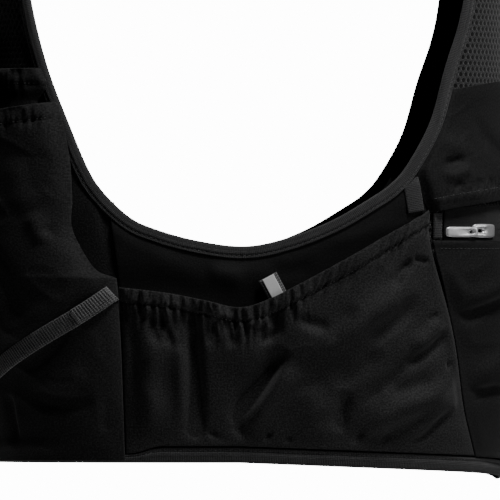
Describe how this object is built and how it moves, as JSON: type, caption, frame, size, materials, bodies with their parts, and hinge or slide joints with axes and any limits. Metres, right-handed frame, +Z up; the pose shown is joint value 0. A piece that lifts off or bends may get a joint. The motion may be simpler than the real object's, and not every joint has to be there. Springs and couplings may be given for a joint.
{
  "type": "running hydration vest",
  "caption": "Sleeveless running vest in its worn shape, with gathered stretch pockets, bound armholes, adjustable side straps and a zipped back pocket.",
  "frame": {"origin": "midway between the tops of the two shoulder straps, at the height where they rest on the shoulders", "axes": "+Z up as worn, -Y to the wearer's front, +X to the wearer's left"},
  "size_m": [0.3214, 0.3173, 0.3776],
  "materials": {
    "fabric": "black woven stretch fabric, faint sheen",
    "mesh": "black open spacer mesh",
    "binding": "black folded elastic tape, stitched",
    "webbing": "black ribbed woven tape",
    "plastic": "black satin plastic",
    "reflective": "light grey reflective tape",
    "metal": "dark grey metal, satin"
  },
  "bodies": {
    "root": {"back_mesh": "mesh", "front_mesh_left": "mesh", "front_mesh_right": "mesh", "side_panel_left": "fabric", "side_panel_right": "fabric", "side_pocket_left": "fabric", "side_pocket_right": "fabric", "flask_pocket_left": "fabric", "flask_pocket_right": "fabric", "front_pocket_left": "fabric", "front_pocket_right": "fabric", "back_flap": "fabric", "back_pocket": "fabric", "armhole_binding_left": "binding", "armhole_binding_right": "binding", "pocket_stay_left": "binding", "pocket_stay_right": "binding", "hem_binding": "binding", "neck_binding": "binding", "zip_end_tab": "binding", "key_loop": "binding", "zip_tape": "webbing", "side_strap_left": "webbing", "side_strap_right": "webbing", "sternum_strap_upper": "webbing", "sternum_strap_lower": "webbing", "strap_buckle_left": "plastic", "strap_buckle_right": "plastic", "sternum_clip_upper": "plastic", "sternum_clip_lower": "plastic", "zip_slider": "metal", "zip_puller": "metal", "key_loop_stripe": "reflective"}
  },
  "joints": []
}
